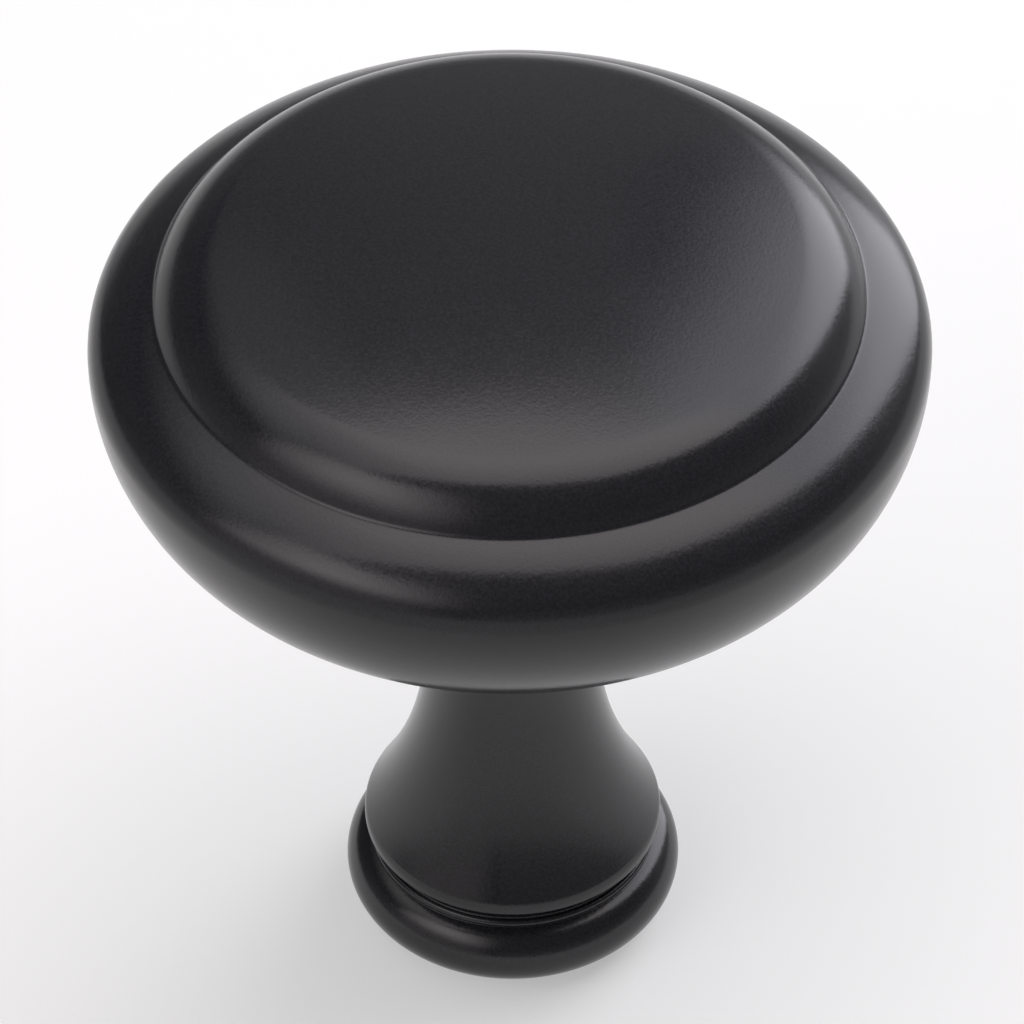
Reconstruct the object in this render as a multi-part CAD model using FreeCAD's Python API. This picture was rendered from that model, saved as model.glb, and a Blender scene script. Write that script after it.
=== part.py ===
# Cabinet knob: a round head on a slender neck, cast in one piece.
# Every length is in millimetres. Z runs along the axis, from the face that lies
# on the door (z = 0) to the top of the head.
import os
from math import cos, hypot, radians, sin, sqrt, tan

import FreeCAD
import Part

# Whole knob
projection = 35.0
head_diameter = 31.75

# Disc in the middle of the head
ring_width = 2.16
dome_radius = 48.5
shoulder_radius = 3.6
cove_radius = 0.35

# Ring, rim and belly of the head
rim_drop = 5.6
ring_radius = 5.5
rim_radius = 1.8
rim_tilt = 41.0
belly_radius = 7.1

# Neck and the lip that it flares to
under_radius = 4.0
throat_diameter = 6.85
lip_diameter = 11.76
lip_radius = 0.7
lip_land = 0.22

# Collar at the foot and the groove over it
groove_width = 0.91
groove_depth = 0.4
collar_height = 3.27
collar_overhang = 0.74
collar_radius = 1.42
collar_start = 8.0
collar_end = 135.0

# Tapped hole for the fixing screw, drawn at its tapping size
hole_diameter = 3.45
hole_depth = 12.0
hole_tip_angle = 118.0
countersink_depth = 0.5


# Helpers for the section, which is drawn as (radius, height)
def circles_meet(centre_a, radius_a, centre_b, radius_b):
    """Both points at radius_a from centre_a and at radius_b from centre_b, nearest the axis first."""
    dr = centre_b[0] - centre_a[0]
    dz = centre_b[1] - centre_a[1]
    span = hypot(dr, dz)
    along = (radius_a ** 2 - radius_b ** 2 + span ** 2) / (2 * span)
    across = sqrt(radius_a ** 2 - along ** 2)
    foot_r = centre_a[0] + along * dr / span
    foot_z = centre_a[1] + along * dz / span
    one = (foot_r + across * dz / span, foot_z - across * dr / span)
    other = (foot_r - across * dz / span, foot_z + across * dr / span)
    return sorted([one, other])


def toward(start, target, distance):
    """Point at a distance from start on the way to target."""
    dr = target[0] - start[0]
    dz = target[1] - start[1]
    share = distance / hypot(dr, dz)
    return (start[0] + share * dr, start[1] + share * dz)


def at_tilt(centre, radius, tilt):
    """Point of an arc where its face leans by tilt degrees from facing straight up."""
    return (centre[0] + radius * sin(radians(tilt)), centre[1] + radius * cos(radians(tilt)))


def vector(point):
    return FreeCAD.Vector(point[0], 0, point[1])


def arc_through(start, middle, end):
    return Part.Arc(vector(start), vector(middle), vector(end)).toShape()


def arc_about(centre, start, end):
    """Shorter arc from start to end about a centre."""
    halfway = ((start[0] + end[0]) / 2, (start[1] + end[1]) / 2)
    radius = hypot(start[0] - centre[0], start[1] - centre[1])
    return arc_through(start, toward(centre, halfway, radius), end)


def line(start, end):
    return Part.makeLine(vector(start), vector(end))


# Sizes and arc centres that follow from the ones above
rim_height = projection - rim_drop
lip_height = collar_height + groove_width + lip_land


def dome_centre():
    return (0, projection - dome_radius)


def shoulder_centre():
    r = head_diameter / 2 - ring_width - shoulder_radius
    rise = sqrt((dome_radius - shoulder_radius) ** 2 - r ** 2)
    return (r, dome_centre()[1] + rise)


def rim_centre():
    return (head_diameter / 2 - rim_radius, rim_height)


def ring_centre():
    return at_tilt(rim_centre(), rim_radius - ring_radius, rim_tilt)


def belly_centre():
    return (head_diameter / 2 - belly_radius, rim_height)


def lip_centre():
    return (lip_diameter / 2 - lip_radius, lip_height)


def throat():
    """Centre and radius of the neck's hollow, narrowest halfway from the lip to the belly."""
    lip = lip_centre()
    height = (lip_height + rim_height - belly_radius) / 2
    rise = height - lip[1]
    inset = lip[0] - throat_diameter / 2
    radius = (inset ** 2 + rise ** 2 - lip_radius ** 2) / (2 * (lip_radius + inset))
    return (throat_diameter / 2 + radius, height), radius


def under_centre():
    hollow, radius = throat()
    return circles_meet(belly_centre(), belly_radius + under_radius, hollow, radius - under_radius)[0]


# Runs of the section, from the top of the head down to the door
def disc_section():
    """Domed disc, its round shoulder and the small cove at its foot."""
    shoulder = shoulder_centre()
    ring = ring_centre()
    cove = circles_meet(shoulder, shoulder_radius + cove_radius, ring, ring_radius + cove_radius)[1]
    dome_end = toward(dome_centre(), shoulder, dome_radius)
    cove_start = toward(shoulder, cove, shoulder_radius)
    cove_end = toward(ring, cove, ring_radius)
    edges = [
        arc_about(dome_centre(), (0, projection), dome_end),
        arc_about(shoulder, dome_end, cove_start),
        arc_about(cove, cove_start, cove_end),
    ]
    return edges, cove_end


def rim_section(start):
    """Sloping ring, the tight roll of the rim and the full belly below it."""
    ring_end = at_tilt(rim_centre(), rim_radius, rim_tilt)
    widest = (head_diameter / 2, rim_height)
    belly_end = toward(belly_centre(), under_centre(), belly_radius)
    edges = [
        arc_about(ring_centre(), start, ring_end),
        arc_about(rim_centre(), ring_end, widest),
        arc_about(belly_centre(), widest, belly_end),
    ]
    return edges, belly_end


def neck_section(start):
    """Sweep out of the belly, the long hollow through the throat and the round of the lip."""
    hollow, radius = throat()
    hollow_start = toward(hollow, under_centre(), radius)
    hollow_end = toward(hollow, lip_centre(), radius)
    lip = (lip_diameter / 2, lip_height)
    edges = [
        arc_about(under_centre(), start, hollow_start),
        arc_about(hollow, hollow_start, hollow_end),
        arc_about(lip_centre(), hollow_end, lip),
    ]
    return edges, lip


def collar_centre():
    return (lip_diameter / 2 + collar_overhang - collar_radius, collar_height - collar_radius)


def collar_section(start):
    """Short side of the lip, the groove, the round of the collar and the face on the door."""
    centre = collar_centre()
    lip_foot = (start[0], start[1] - lip_land)
    groove = (lip_diameter / 2 - groove_depth, collar_height + groove_width / 2)
    top = at_tilt(centre, collar_radius, collar_start)
    widest = (centre[0] + collar_radius, centre[1])
    under = at_tilt(centre, collar_radius, collar_end)
    base = (under[0] + under[1] / tan(radians(collar_end)), 0)
    return [
        line(start, lip_foot),
        arc_through(lip_foot, groove, top),
        arc_through(top, widest, under),
        line(under, base),
        line(base, (0, 0)),
    ]


def knob_body():
    """Whole knob without its hole."""
    disc, disc_end = disc_section()
    rim, rim_end = rim_section(disc_end)
    neck, neck_end = neck_section(rim_end)
    axis = [line((0, 0), (0, projection))]
    outline = Part.Wire(disc + rim + neck + collar_section(neck_end) + axis)
    return Part.Face(outline).revolve(FreeCAD.Vector(0, 0, 0), FreeCAD.Vector(0, 0, 1), 360)


def screw_hole():
    """Blind hole with the cone that the drill leaves and a countersunk mouth."""
    bore = hole_diameter / 2
    tip = bore / tan(radians(hole_tip_angle / 2))
    points = [
        (0, 0),
        (bore + countersink_depth, 0),
        (bore, countersink_depth),
        (bore, hole_depth),
        (0, hole_depth + tip),
        (0, 0),
    ]
    section = Part.Face(Part.makePolygon([vector(point) for point in points]))
    return section.revolve(FreeCAD.Vector(0, 0, 0), FreeCAD.Vector(0, 0, 1), 360)


def knob():
    return knob_body().cut(screw_hole())


os.makedirs("parts", exist_ok=True)
knob().exportStep("parts/knob.step")
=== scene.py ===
# Cabinet knob: looks, light and camera. The knob and the camera are given in millimetres, which MM
# turns into metres; the studio around them is given in metres.
from math import atan2, ceil, cos, hypot, pi, radians, sin, sqrt, tan

import bmesh
import bpy
from mathutils import Matrix, Vector


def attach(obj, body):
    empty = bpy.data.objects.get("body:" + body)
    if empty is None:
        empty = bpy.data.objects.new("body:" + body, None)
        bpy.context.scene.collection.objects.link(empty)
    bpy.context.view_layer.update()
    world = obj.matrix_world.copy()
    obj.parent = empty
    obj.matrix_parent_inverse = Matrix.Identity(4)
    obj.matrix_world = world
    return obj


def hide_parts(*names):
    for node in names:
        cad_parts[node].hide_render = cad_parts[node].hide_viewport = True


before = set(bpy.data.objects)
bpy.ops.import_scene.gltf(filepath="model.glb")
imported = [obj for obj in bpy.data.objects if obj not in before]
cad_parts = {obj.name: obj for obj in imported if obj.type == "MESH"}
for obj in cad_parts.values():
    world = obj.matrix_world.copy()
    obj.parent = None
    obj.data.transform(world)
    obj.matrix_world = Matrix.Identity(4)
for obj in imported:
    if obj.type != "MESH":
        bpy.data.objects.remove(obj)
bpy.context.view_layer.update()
MM = 0.001

# Camera, as fitted to the outline of the knob in the photograph
FOCAL_PIXELS = 7813.2
PHOTO_WIDTH = 1024
SENSOR_WIDTH = 36.0
CAMERA_DISTANCE = 300.0
CAMERA_ELEVATION = radians(43.69)
CAMERA_ROLL = radians(-0.34)
AIM = (0.045, 0.0, 20.46)


def make_camera():
    forward = Vector((0, cos(CAMERA_ELEVATION), -sin(CAMERA_ELEVATION)))
    up = Vector((0, sin(CAMERA_ELEVATION), cos(CAMERA_ELEVATION)))
    right = Vector((1, 0, 0))
    x_axis = cos(CAMERA_ROLL) * right + sin(CAMERA_ROLL) * up
    y_axis = -sin(CAMERA_ROLL) * right + cos(CAMERA_ROLL) * up
    data = bpy.data.cameras.new("camera")
    data.sensor_width = SENSOR_WIDTH
    data.lens = SENSOR_WIDTH * FOCAL_PIXELS / PHOTO_WIDTH
    data.clip_start = 0.01
    data.clip_end = 50.0
    camera = bpy.data.objects.new("camera", data)
    bpy.context.scene.collection.objects.link(camera)
    place = (Vector(AIM) - CAMERA_DISTANCE * forward) * MM
    turn = Matrix((x_axis, y_axis, -forward)).transposed()
    camera.matrix_world = Matrix.Translation(place) @ turn.to_4x4()
    bpy.context.scene.camera = camera


# Section of the knob as (radius, height) from the door face: the head
PROJECTION = 35.0
HEAD_R = 31.75 / 2
RING_WIDTH = 2.16
DOME_R = 48.5
SHOULDER_R = 3.6
COVE_R = 0.35
RIM_Z = PROJECTION - 5.6
RING_R = 5.5
RIM_R = 1.8
RIM_TILT = radians(41.0)
BELLY_R = 7.1
# The neck, its lip, the groove and the collar
UNDER_R = 4.0
THROAT_R = 6.85 / 2
LIP_OUT = 11.76 / 2
LIP_R = 0.7
LIP_LAND = 0.22
COLLAR_Z = 3.27
COLLAR_R = 1.42
COLLAR_OUT = LIP_OUT + 0.74
COLLAR_END = radians(135.0)
GROOVE_WIDTH = 0.91
GROOVE_IN = LIP_OUT - 0.4
LIP_Z = COLLAR_Z + GROOVE_WIDTH + LIP_LAND
# Fine bead between the groove and the collar's round, placed from the collar's centre and top
BEAD_R = 0.17
BEAD_OUT = 0.29
BEAD_UP = 0.06
BEAD_START = radians(110.0)
# How far each corner is rounded: at the base, under the bead and under the lip
HEEL_ROUND = 0.14
CREASE_ROUND = 0.03
EDGE_ROUND = 0.05
# Narrow bands on the door face, just inside the heel and around the hole's mouth
HEEL_BAND = 0.5
MOUTH_BAND = 0.3
# Screw hole
HOLE_R = 3.45 / 2
HOLE_DEPTH = 12.0
MOUTH_DEPTH = 0.5
MOUTH_R = HOLE_R + MOUTH_DEPTH
DRILL_HALF_ANGLE = radians(59.0)

# Points around the axis, and the longest step along each kind of arc
AROUND = 288
STEP = radians(2.5)
DOME_STEP = radians(0.5)
COVE_STEP = radians(6)
HOLLOW_STEP = radians(1.5)
GROOVE_STEP = radians(8)
BEAD_STEP = radians(10)
BEND_STEPS = 5


def meet(a, ra, b, rb, outer):
    """Point at ra from a and rb from b, the one nearer the axis or the outer one."""
    dr, dz = b[0] - a[0], b[1] - a[1]
    span = hypot(dr, dz)
    along = (ra * ra - rb * rb + span * span) / (2 * span)
    across = sqrt(ra * ra - along * along)
    foot = (a[0] + along * dr / span, a[1] + along * dz / span)
    both = sorted(
        (foot[0] + s * across * dz / span, foot[1] - s * across * dr / span) for s in (1, -1)
    )
    return both[1 if outer else 0]


def toward(a, b, distance):
    """Point at a distance from a on the way to b."""
    share = distance / hypot(b[0] - a[0], b[1] - a[1])
    return (a[0] + share * (b[0] - a[0]), a[1] + share * (b[1] - a[1]))


def arc(centre, start, end, step=STEP):
    """Points of the shorter arc from start to end, without its first point."""
    a0 = atan2(start[1] - centre[1], start[0] - centre[0])
    a1 = atan2(end[1] - centre[1], end[0] - centre[0])
    turn = (a1 - a0 + pi) % (2 * pi) - pi
    radius = hypot(start[0] - centre[0], start[1] - centre[1])
    count = max(2, ceil(abs(turn) / step))
    angles = [a0 + turn * i / count for i in range(1, count + 1)]
    return [(centre[0] + radius * cos(a), centre[1] + radius * sin(a)) for a in angles]


def circle_of(p, q, s):
    """Centre of the circle through three points."""
    ax, ay, bx, by = q[0] - p[0], q[1] - p[1], s[0] - p[0], s[1] - p[1]
    d = 2 * (ax * by - ay * bx)
    ux = (by * (ax * ax + ay * ay) - ay * (bx * bx + by * by)) / d
    uy = (ax * (bx * bx + by * by) - bx * (ax * ax + ay * ay)) / d
    return (p[0] + ux, p[1] + uy)


def soften(points, index, size):
    """Rounds the corner at points[index] with a bend that starts and ends at a distance of size."""
    p = points[index]
    a = toward(p, points[index - 1], size)
    b = toward(p, points[index + 1], size)
    bend = [
        (
            (1 - t) ** 2 * a[0] + 2 * t * (1 - t) * p[0] + t * t * b[0],
            (1 - t) ** 2 * a[1] + 2 * t * (1 - t) * p[1] + t * t * b[1],
        )
        for t in [i / BEND_STEPS for i in range(BEND_STEPS + 1)]
    ]
    return points[:index] + bend + points[index + 1 :]


def outer_section():
    """The coated outside, from the top of the dome to the edge of the hole's mouth."""
    dome = (0, PROJECTION - DOME_R)
    sr = HEAD_R - RING_WIDTH - SHOULDER_R
    shoulder = (sr, dome[1] + sqrt((DOME_R - SHOULDER_R) ** 2 - sr * sr))
    rim = (HEAD_R - RIM_R, RIM_Z)
    ring = (rim[0] - (RING_R - RIM_R) * sin(RIM_TILT), rim[1] - (RING_R - RIM_R) * cos(RIM_TILT))
    belly = (HEAD_R - BELLY_R, RIM_Z)
    lip = (LIP_OUT - LIP_R, LIP_Z)
    throat_z = (LIP_Z + RIM_Z - BELLY_R) / 2
    inset, rise = lip[0] - THROAT_R, throat_z - LIP_Z
    hollow_r = (inset**2 + rise**2 - LIP_R**2) / (2 * (LIP_R + inset))
    hollow = (THROAT_R + hollow_r, throat_z)
    under = meet(belly, BELLY_R + UNDER_R, hollow, hollow_r - UNDER_R, False)
    cove = meet(shoulder, SHOULDER_R + COVE_R, ring, RING_R + COVE_R, True)
    collar = (COLLAR_OUT - COLLAR_R, COLLAR_Z - COLLAR_R)
    bead = (collar[0] + BEAD_OUT, COLLAR_Z + BEAD_UP)

    dome_end = toward(dome, shoulder, DOME_R)
    cove_start = toward(shoulder, cove, SHOULDER_R)
    cove_end = toward(ring, cove, RING_R)
    ring_end = (rim[0] + RIM_R * sin(RIM_TILT), rim[1] + RIM_R * cos(RIM_TILT))
    widest = (HEAD_R, RIM_Z)
    belly_end = toward(belly, under, BELLY_R)
    hollow_start = toward(hollow, under, hollow_r)
    hollow_end = toward(hollow, lip, hollow_r)
    lip_end = (LIP_OUT, LIP_Z)
    lip_foot = (LIP_OUT, LIP_Z - LIP_LAND)
    groove = (GROOVE_IN, COLLAR_Z + GROOVE_WIDTH / 2)
    bead_start = (bead[0] + BEAD_R * cos(BEAD_START), bead[1] + BEAD_R * sin(BEAD_START))
    bead_end = meet(bead, BEAD_R, collar, COLLAR_R, True)
    collar_end = (collar[0] + COLLAR_R * sin(COLLAR_END), collar[1] + COLLAR_R * cos(COLLAR_END))
    base = (collar_end[0] + collar_end[1] / tan(COLLAR_END), 0.0)

    points = [(0.0, PROJECTION)]
    points += arc(dome, points[-1], dome_end, DOME_STEP)
    points += arc(shoulder, dome_end, cove_start)
    points += arc(cove, cove_start, cove_end, COVE_STEP)
    points += arc(ring, cove_end, ring_end)
    points += arc(rim, ring_end, widest)
    points += arc(belly, widest, belly_end)
    points += arc(under, belly_end, hollow_start)
    points += arc(hollow, hollow_start, hollow_end, HOLLOW_STEP)
    points += arc(lip, hollow_end, lip_end)
    points.append(lip_foot)
    edge = len(points) - 1
    points += arc(circle_of(lip_foot, groove, bead_start), lip_foot, bead_start, GROOVE_STEP)
    points += arc(bead, bead_start, bead_end, BEAD_STEP)
    crease = len(points) - 1
    points += arc(collar, bead_end, collar_end)
    points.append(base)
    heel = len(points) - 1
    points += [(base[0] - HEEL_BAND, 0.0), (MOUTH_R + MOUTH_BAND, 0.0), (MOUTH_R, 0.0)]
    # The last corner first, because each one adds points after it
    for index, size in ((heel, HEEL_ROUND), (crease, CREASE_ROUND), (edge, EDGE_ROUND)):
        points = soften(points, index, size)
    return points


# Thread of the fixing screw. The crest and the flank are shares of half a pitch, and the rest is root.
PITCH = 0.794
THREAD_DEPTH = 0.36
CREST = 0.14
FLANK = 0.72
# It fades in over LEAD_IN, from LEAD_START before the end of the countersink, and fades out over
# RUN_OUT, which ends PLAIN_END before the end of the tapped wall.
LEAD_START = 0.35
LEAD_IN = 0.5
PLAIN_END = 0.9
RUN_OUT = 1.2
# Rings of the hole: the broken edge of its mouth, one on the countersink, then the tapped wall's,
# which start WALL_LEAD before the countersink's end
MOUTH_BREAK = (0.04, 0.03)
SLOPE_LEFT = 0.3
WALL_LEAD = 0.15
THREAD_ROWS = 190
HOLE_AROUND = 120


def clamp(value):
    return min(1.0, max(0.0, value))


def thread_radius(z, turn):
    """Radius of the tapped wall at a height, a full thread that fades at the mouth and at the end."""
    phase = (z / PITCH - turn) % 1.0
    ridge = abs(2 * phase - 1)
    cut = clamp((ridge - CREST) / FLANK)
    at_end = clamp((HOLE_DEPTH - PLAIN_END - z) / RUN_OUT)
    at_mouth = clamp((z - MOUTH_DEPTH + LEAD_START) / LEAD_IN)
    return HOLE_R + THREAD_DEPTH * cut * (at_end * at_mouth)


class Skin:
    """Rings of points about the axis, joined one to the next."""

    def __init__(self, around):
        self.bm = bmesh.new()
        self.around = around
        self.last = None

    def point(self, r, turn, z):
        return self.bm.verts.new((r * cos(2 * pi * turn) * MM, r * sin(2 * pi * turn) * MM, z * MM))

    def face(self, corners):
        self.bm.faces.new(corners).smooth = True

    def ring(self, radius_at, z):
        """Adds a ring; radius_at gives its radius for a share of a turn."""
        turns = [i / self.around for i in range(self.around)]
        loop = [self.point(radius_at(turn), turn, z) for turn in turns]
        if self.last:
            for i in range(self.around):
                j = (i + 1) % self.around
                self.face((self.last[i], loop[i], loop[j], self.last[j]))
        self.last = loop

    def close(self, z):
        """Closes the last ring with a fan to a point on the axis."""
        tip = self.point(0, 0, z)
        for i in range(self.around):
            self.face((tip, self.last[i], self.last[(i + 1) % self.around]))

    def piece(self, name, material, outward):
        """Makes the mesh a piece of the knob whose faces look away from the axis, or toward it."""
        mesh = bpy.data.meshes.new(name)
        bmesh.ops.recalc_face_normals(self.bm, faces=self.bm.faces)
        self.bm.normal_update()
        probe = max(self.bm.faces, key=lambda f: f.calc_center_median().xy.length)
        if (probe.normal.xy.dot(probe.calc_center_median().xy) > 0) != outward:
            bmesh.ops.reverse_faces(self.bm, faces=self.bm.faces)
        self.bm.to_mesh(mesh)
        self.bm.free()
        mesh.materials.append(material)
        piece = bpy.data.objects.new(name, mesh)
        bpy.context.scene.collection.objects.link(piece)
        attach(piece, "root")
        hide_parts("knob")


def make_knob():
    """The coated outside of the casting, down to the edge of the hole's mouth."""
    skin = Skin(AROUND)
    for r, z in reversed(outer_section()[1:]):
        skin.ring(lambda turn, r=r: r, z)
    skin.close(PROJECTION)
    skin.piece("cabinet_knob", coat_material(), True)


def make_hole():
    """The countersunk mouth, the tapped wall and the drill's cone, cut after coating."""
    skin = Skin(HOLE_AROUND)
    edge = (MOUTH_R - MOUTH_BREAK[0], MOUTH_BREAK[1])
    slope = (HOLE_R + SLOPE_LEFT, MOUTH_DEPTH - SLOPE_LEFT)
    for r, z in ((MOUTH_R, 0.0), edge, slope):
        skin.ring(lambda turn, r=r: r, z)
    start = MOUTH_DEPTH - WALL_LEAD
    for k in range(THREAD_ROWS + 1):
        z = start + (HOLE_DEPTH - start) * k / THREAD_ROWS
        skin.ring(lambda turn, z=z: thread_radius(z, turn), z)
    skin.close(HOLE_DEPTH + HOLE_R / tan(DRILL_HALF_ANGLE))
    skin.piece("screw_hole", bare_material(), False)


# Helpers for shader nodes
def nodes_of(owner):
    """Empty node tree of a material or of the world."""
    owner.use_nodes = True
    tree = owner.node_tree
    tree.nodes.clear()
    return tree


def add(tree, kind, **values):
    """New node with the values given to its sockets or, where it has no such socket, to itself."""
    node = tree.nodes.new(kind)
    for key, value in values.items():
        if key in node.inputs:
            node.inputs[key].default_value = value
        else:
            setattr(node, key, value)
    return node


def object_place(tree):
    return add(tree, "ShaderNodeTexCoord").outputs["Object"]


def split(tree, place):
    """Sockets for the x, y and z of a place."""
    node = add(tree, "ShaderNodeSeparateXYZ")
    tree.links.new(place, node.inputs[0])
    return node.outputs


def spread(tree, value, low, high, at_low, at_high, kind="LINEAR"):
    """Change from at_low to at_high while the value goes from low to high."""
    node = add(tree, "ShaderNodeMapRange", interpolation_type=kind)
    for key, number in (("From Min", low), ("From Max", high), ("To Min", at_low), ("To Max", at_high)):
        node.inputs[key].default_value = number
    tree.links.new(value, node.inputs["Value"])
    return node.outputs["Result"]


def ease(tree, value, low, high, at_low, at_high):
    """The same change as spread, with a soft start and end."""
    return spread(tree, value, low, high, at_low, at_high, "SMOOTHSTEP")


def tones(tree, value, low, dark, high, pale):
    """Colour that goes from dark to pale while the value goes from low to high."""
    node = add(tree, "ShaderNodeValToRGB")
    for element, place, colour in zip(node.color_ramp.elements, (low, high), (dark, pale)):
        element.position = place
        element.color = (*colour, 1)
    tree.links.new(value, node.inputs["Fac"])
    return node.outputs["Color"]


def arithmetic(tree, operation, a, b):
    node = add(tree, "ShaderNodeMath", operation=operation)
    for socket, value in zip(node.inputs, (a, b)):
        if isinstance(value, (int, float)):
            socket.default_value = value
        else:
            tree.links.new(value, socket)
    return node.outputs[0]


def product(tree, a, b):
    return arithmetic(tree, "MULTIPLY", a, b)


def noise(tree, place, scale, detail, roughness):
    node = add(tree, "ShaderNodeTexNoise", Scale=scale, Detail=detail, Roughness=roughness)
    tree.links.new(place, node.inputs["Vector"])
    return node.outputs["Fac"]


def finish_surface(tree, shader):
    tree.links.new(shader, add(tree, "ShaderNodeOutputMaterial").inputs["Surface"])


# Materials of the knob. Noise scales are per metre; heights are in metres.
GRAIN_SCALE = 8200.0
PEBBLE_SCALE = 4200.0
DRIFT_SCALE = 230.0
MARKS_SCALE = 9000.0
BUMP_HEIGHT = 0.00001
COAT_DARK, COAT_PALE = (0.0102, 0.0097, 0.0121), (0.0172, 0.0165, 0.0205)
ZINC_DARK, ZINC_PALE = (0.42, 0.43, 0.45), (0.60, 0.61, 0.63)


def relief(tree, bsdf, height, strength):
    """Bumps the surface by a height that changes from place to place."""
    bump = add(tree, "ShaderNodeBump", Strength=strength, Distance=BUMP_HEIGHT)
    tree.links.new(height, bump.inputs["Height"])
    tree.links.new(bump.outputs["Normal"], bsdf.inputs["Normal"])


def coat_material():
    """Satin black coat: near-black pigment, a fine pebbled grain and a faint unevenness of gloss."""
    material = bpy.data.materials.new("black_coat")
    tree = nodes_of(material)
    bsdf = add(tree, "ShaderNodeBsdfPrincipled", IOR=1.5)
    place = object_place(tree)
    grain = noise(tree, place, GRAIN_SCALE, 1.0, 0.5)
    pebble = noise(tree, place, PEBBLE_SCALE, 1.0, 0.5)
    drift = noise(tree, place, DRIFT_SCALE, 3.0, 0.5)
    tree.links.new(tones(tree, grain, 0.3, COAT_DARK, 0.7, COAT_PALE), bsdf.inputs["Base Color"])
    fine = spread(tree, grain, 0.3, 0.7, -0.02, 0.02)
    broad = spread(tree, drift, 0.3, 0.7, 0.175, 0.215)
    tree.links.new(arithmetic(tree, "ADD", fine, broad), bsdf.inputs["Roughness"])
    height = arithmetic(tree, "ADD", product(tree, grain, 0.6), product(tree, pebble, 0.4))
    relief(tree, bsdf, height, 0.45)
    finish_surface(tree, bsdf.outputs["BSDF"])
    return material


def bare_material():
    """Bare zinc alloy where the hole is cut after coating: grey metal with fine turning marks."""
    material = bpy.data.materials.new("bare_zinc")
    tree = nodes_of(material)
    bsdf = add(tree, "ShaderNodeBsdfPrincipled", Metallic=1.0)
    stretch = add(tree, "ShaderNodeMapping", Scale=(0.15, 0.15, 1.0))
    tree.links.new(object_place(tree), stretch.inputs["Vector"])
    marks = noise(tree, stretch.outputs["Vector"], MARKS_SCALE, 3.0, 0.6)
    tree.links.new(tones(tree, marks, 0.3, ZINC_DARK, 0.7, ZINC_PALE), bsdf.inputs["Base Color"])
    tree.links.new(spread(tree, marks, 0.0, 1.0, 0.22, 0.42), bsdf.inputs["Roughness"])
    relief(tree, bsdf, marks, 0.3)
    finish_surface(tree, bsdf.outputs["BSDF"])
    return material


# Studio. Directions from HEART, the middle of the knob, are (azimuth, elevation) in degrees:
# azimuth 0 is behind the knob and 90 to its right.
WALL_R = 6.0
HEART = Vector((0, 0, 0.03))
WARM = (1.04, 0.985, 0.99)
COOL = (0.985, 0.985, 1.05)
# The floor lies just under the knob. Of its white, part is diffuse colour and part is glow, and away
# from the knob both fall to FLOOR_FAR of what they are at it: a painted pool of light round the knob,
# with painted shade beyond it that the knob's gloss mirrors.
FLOOR_DROP = 0.00002
FLOOR_DIFFUSE = 0.63
FLOOR_GLOW = 0.385
FLOOR_FAR = 0.66
# The silk hangs SILK_HEIGHT above HEART. Its outline and that of the part to its left are in shares
# of that height.
SILK_HEIGHT = 0.6
SILK = (
    (-0.36, -0.337), (0.36, -0.337), (0.57, -0.23), (0.88, 0),
    (1.04, 0.15), (0.22, 0.475), (-0.36, 0.475),
)
SILK_LEFT = ((-0.95, -0.337), (-0.36, -0.337), (-0.36, 0.475), (-0.7, 0.475))
# Corners of the other cards, as directions
RIGHT_PANEL = ((30, -2), (40, -6), (86, 45), (20, 64), (13, 44), (10, 32), (16, 16))
FRONT_SCREEN = ((-170, -2), (-99, -2), (-99, 38), (-106, 50), (-132, 55), (-170, 54))
LEFT_VEIL = ((-118, 20), (-20, 20), (-24, 62), (-62, 68), (-114, 62))


def seen_by_eye_or_gloss(tree):
    """1 for rays from the camera, from gloss and through glass, otherwise 0."""
    path = add(tree, "ShaderNodeLightPath")
    either = arithmetic(tree, "MAXIMUM", path.outputs["Is Camera Ray"], path.outputs["Is Glossy Ray"])
    return arithmetic(tree, "MAXIMUM", either, path.outputs["Is Transmission Ray"])


def make_floor():
    """Pale sheet with a painted pool of light, whitest where the knob stands and painted darker away
    from it, and not there for rays from below.
    """
    bm = bmesh.new()
    bmesh.ops.create_circle(bm, cap_ends=True, segments=96, radius=WALL_R)
    mesh = bpy.data.meshes.new("floor")
    bm.to_mesh(mesh)
    bm.free()
    floor = bpy.data.objects.new("floor", mesh)
    floor.location.z = -FLOOR_DROP
    bpy.context.scene.collection.objects.link(floor)
    material = bpy.data.materials.new("floor_white")
    tree = nodes_of(material)
    link = tree.links.new
    x, y, _ = split(tree, object_place(tree))
    # Painted pool of light: the floor's colour and glow are full near the knob and fall off to the
    # sides, front and back as painted shade
    side = ease(tree, arithmetic(tree, "ABSOLUTE", x, 0), 0.021, 0.1, 1.0, 0.0)
    front = ease(tree, y, -0.06, -0.0078, 0.0, 1.0)
    back = ease(tree, y, 0.052, 0.18, 1.0, 0.0)
    painted_pool = product(tree, side, product(tree, front, back))
    share = spread(tree, painted_pool, 0.0, 1.0, FLOOR_FAR, 1.0)
    paper = add(tree, "ShaderNodeBsdfDiffuse")
    link(product(tree, share, FLOOR_DIFFUSE), paper.inputs["Color"])
    lift = add(tree, "ShaderNodeEmission", Color=(1, 1, 1, 1))
    lifted = product(tree, share, FLOOR_GLOW)
    link(product(tree, seen_by_eye_or_gloss(tree), lifted), lift.inputs["Strength"])
    both = add(tree, "ShaderNodeAddShader")
    link(paper.outputs[0], both.inputs[0])
    link(lift.outputs[0], both.inputs[1])
    pick = add(tree, "ShaderNodeMixShader")
    link(add(tree, "ShaderNodeNewGeometry").outputs["Backfacing"], pick.inputs["Fac"])
    link(both.outputs[0], pick.inputs[1])
    link(add(tree, "ShaderNodeBsdfTransparent").outputs[0], pick.inputs[2])
    finish_surface(tree, pick.outputs[0])
    floor.data.materials.append(material)


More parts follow.
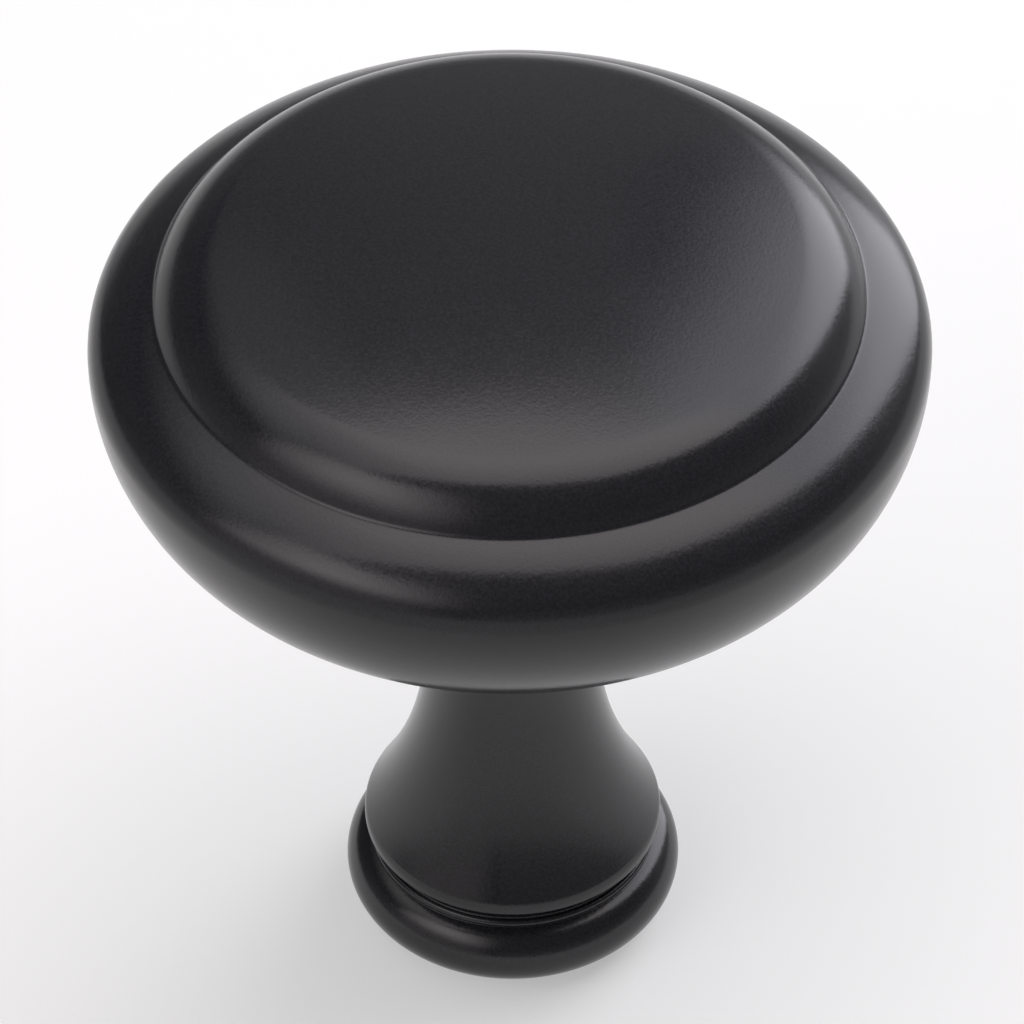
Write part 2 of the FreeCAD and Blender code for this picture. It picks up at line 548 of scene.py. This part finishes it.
def glow(name, strength, colour=(1, 1, 1)):
    """Material that gives off light; strength(tree, x, y, z) returns the socket that sets how much."""
    material = bpy.data.materials.new(name)
    tree = nodes_of(material)
    emission = add(tree, "ShaderNodeEmission", Color=(*colour, 1))
    place = add(tree, "ShaderNodeNewGeometry").outputs["Position"]
    tree.links.new(strength(tree, *split(tree, place)), emission.inputs["Strength"])
    finish_surface(tree, emission.outputs[0])
    return material


def stand(name, mesh, material):
    """Adds a part of the studio that the camera doesn't see."""
    mesh.materials.append(material)
    thing = bpy.data.objects.new(name, mesh)
    bpy.context.scene.collection.objects.link(thing)
    thing.visible_camera = False


def card(name, corners, material):
    """Flat glowing card with corners relative to HEART."""
    mesh = bpy.data.meshes.new(name)
    mesh.from_pydata([HEART + Vector(corner) for corner in corners], [], [list(range(len(corners)))])
    stand(name, mesh, material)


def direction(azimuth, elevation):
    a, e = radians(azimuth), radians(elevation)
    return Vector((sin(a) * cos(e), cos(a) * cos(e), sin(e)))


def facing_card(name, facing, distance, corners, material):
    """Card that faces HEART from one direction, with its corners in the directions given."""
    out = direction(*facing)
    rays = [direction(*corner) for corner in corners]
    card(name, [ray * (distance / ray.dot(out)) for ray in rays], material)


def make_walls():
    """Dim walls of the studio, which the gloss mirrors between the cards; past them it is white."""
    bm = bmesh.new()
    bmesh.ops.create_uvsphere(bm, u_segments=64, v_segments=32, radius=WALL_R)
    mesh = bpy.data.meshes.new("studio_walls")
    bm.to_mesh(mesh)
    bm.free()

    def strength(tree, x, y, z):
        low = ease(tree, z, 0.0, 0.45 * WALL_R, 0.27, 0.13)
        front = ease(tree, y, 0.0, 0.6 * WALL_R, 1.0, 0.0)
        back = ease(tree, y, 0.0, 0.5 * WALL_R, 0.0, 1.0)
        spill = ease(tree, x, -0.6 * WALL_R, 0.0, 0.07, 0.29)
        return arithmetic(tree, "ADD", product(tree, low, front), product(tree, back, spill))

    stand("studio_walls", mesh, glow("walls_dim", strength))
    world = bpy.data.worlds.new("white")
    bpy.context.scene.world = world
    tree = nodes_of(world)
    background = add(tree, "ShaderNodeBackground", Color=(1, 1, 1, 1))
    tree.links.new(seen_by_eye_or_gloss(tree), background.inputs["Strength"])
    tree.links.new(background.outputs[0], add(tree, "ShaderNodeOutputWorld").inputs["Surface"])


def make_overhead():
    """Silk above the knob and a dimmer part that carries on from it to the left."""
    h = SILK_HEIGHT

    def silk_strength(tree, x, y, z):
        along = ease(tree, y, -0.3 * h, 0.15 * h, 1.7, 2.28)
        return product(tree, along, ease(tree, x, -0.5 * h, -0.12 * h, 0.72, 1.0))

    def left_strength(tree, x, y, z):
        return ease(tree, x, -0.75 * h, -0.36 * h, 0.95, 1.5)

    for name, outline, strength in (("silk", SILK, silk_strength), ("left", SILK_LEFT, left_strength)):
        corners = [(x * h, y * h, h) for x, y in outline]
        card("overhead_" + name, corners, glow(name + "_light", strength, WARM))


def make_right_panel():
    """Tall panel that leans over from the back right."""

    def strength(tree, x, y, z):
        up = ease(tree, z, 0.235, 0.335, 3.35, 2.0)
        return product(tree, up, ease(tree, arithmetic(tree, "DIVIDE", x, y), 0.22, 0.6, 0.05, 1.0))

    facing_card("right_panel", (59, 52.5), 0.38, RIGHT_PANEL, glow("right_light", strength, COOL))


def make_front_screen():
    """Screen at the front left, brightest at its top."""

    def strength(tree, x, y, z):
        right = ease(tree, x, -0.36, -0.08, 1.0, 0.05)
        back = ease(tree, y, -0.3, -0.05, 1.0, 0.5)
        return product(tree, product(tree, right, back), ease(tree, z, 0.18, 0.46, 0.5, 2.35))

    facing_card("front_screen", (-132, 27), 0.6, FRONT_SCREEN, glow("front_light", strength, WARM))


def make_left_veil():
    """Veil of light high on the left, fading downward and at both ends."""

    def strength(tree, x, y, z):
        front = ease(tree, y, -0.25, 0.05, 0.0, 1.0)
        back = ease(tree, y, 0.15, 0.45, 1.0, 0.4)
        return product(tree, product(tree, front, back), ease(tree, z, 0.38, 0.62, 0.02, 1.1))

    facing_card("left_high", (-70, 44), 0.7, LEFT_VEIL, glow("left_high_light", strength))


make_camera()
make_knob()
make_hole()
make_floor()
make_walls()
make_overhead()
make_right_panel()
make_front_screen()
make_left_veil()

bpy.context.scene.view_settings.view_transform = "Standard"
